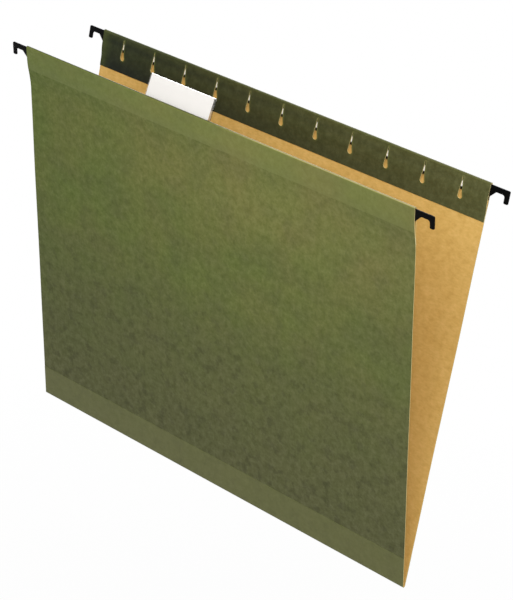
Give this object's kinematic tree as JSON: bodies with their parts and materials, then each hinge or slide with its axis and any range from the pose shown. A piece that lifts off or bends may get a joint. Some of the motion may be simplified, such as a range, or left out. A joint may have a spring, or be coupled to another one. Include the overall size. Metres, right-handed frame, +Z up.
{
  "type": "hanging file folder",
  "caption": "Letter-size hanging file folder: green board panels joined by a bottom fold, steel hanger bars with black hooks, slotted flaps and a clear label tab.",
  "frame": {"origin": "midway between the four hook seats, level with the tops of the rails they rest on", "axes": "+X along the bars to the right seen from the front, +Y from the front panel to the rear, +Z up"},
  "size_m": [0.3238, 0.063, 0.2453],
  "materials": {
    "green_board": "matte",
    "kraft_board": "matte",
    "strip_film": "satin",
    "paper_glue": "matte",
    "bar_steel": "satin",
    "hook_coat": "satin",
    "clear_tab": "gloss",
    "label_paper": "matte"
  },
  "bodies": {
    "rear_half": {"rear_cover_sheet": "green_board", "rear_liner": "kraft_board", "rear_top_strip": "strip_film", "rear_bottom_strip": "strip_film", "rear_flap_glue": "paper_glue", "rear_bar": "bar_steel", "rear_left_hook": "hook_coat", "rear_right_hook": "hook_coat", "bottom_fold": "green_board"},
    "front_half": {"front_cover_sheet": "green_board", "front_liner": "kraft_board", "front_top_strip": "strip_film", "front_bottom_strip": "strip_film", "front_flap_glue": "paper_glue", "front_bar": "bar_steel", "front_left_hook": "hook_coat", "front_right_hook": "hook_coat", "tab_base": "clear_tab"},
    "tab": {"tab_window": "clear_tab"},
    "label": {"tab_label": "label_paper"}
  },
  "joints": [
    {"name": "fold", "type": "hinge", "parent": "rear_half", "child": "front_half", "pos_m": [0, 0, -0.22911], "axis": [1, 0, 0], "range_deg": [-13, 163], "deforming": ["bottom_fold"]},
    {"name": "tab_tilt", "type": "hinge", "parent": "front_half", "child": "tab", "pos_m": [-0.0262, -0.02934, 0.00143], "axis": [-1, 0, 0], "range_deg": [-26, 34]},
    {"name": "label_slide", "type": "slide", "parent": "tab", "child": "label", "axis": [1, 0, 0], "range_m": [0, 0.055]}
  ]
}
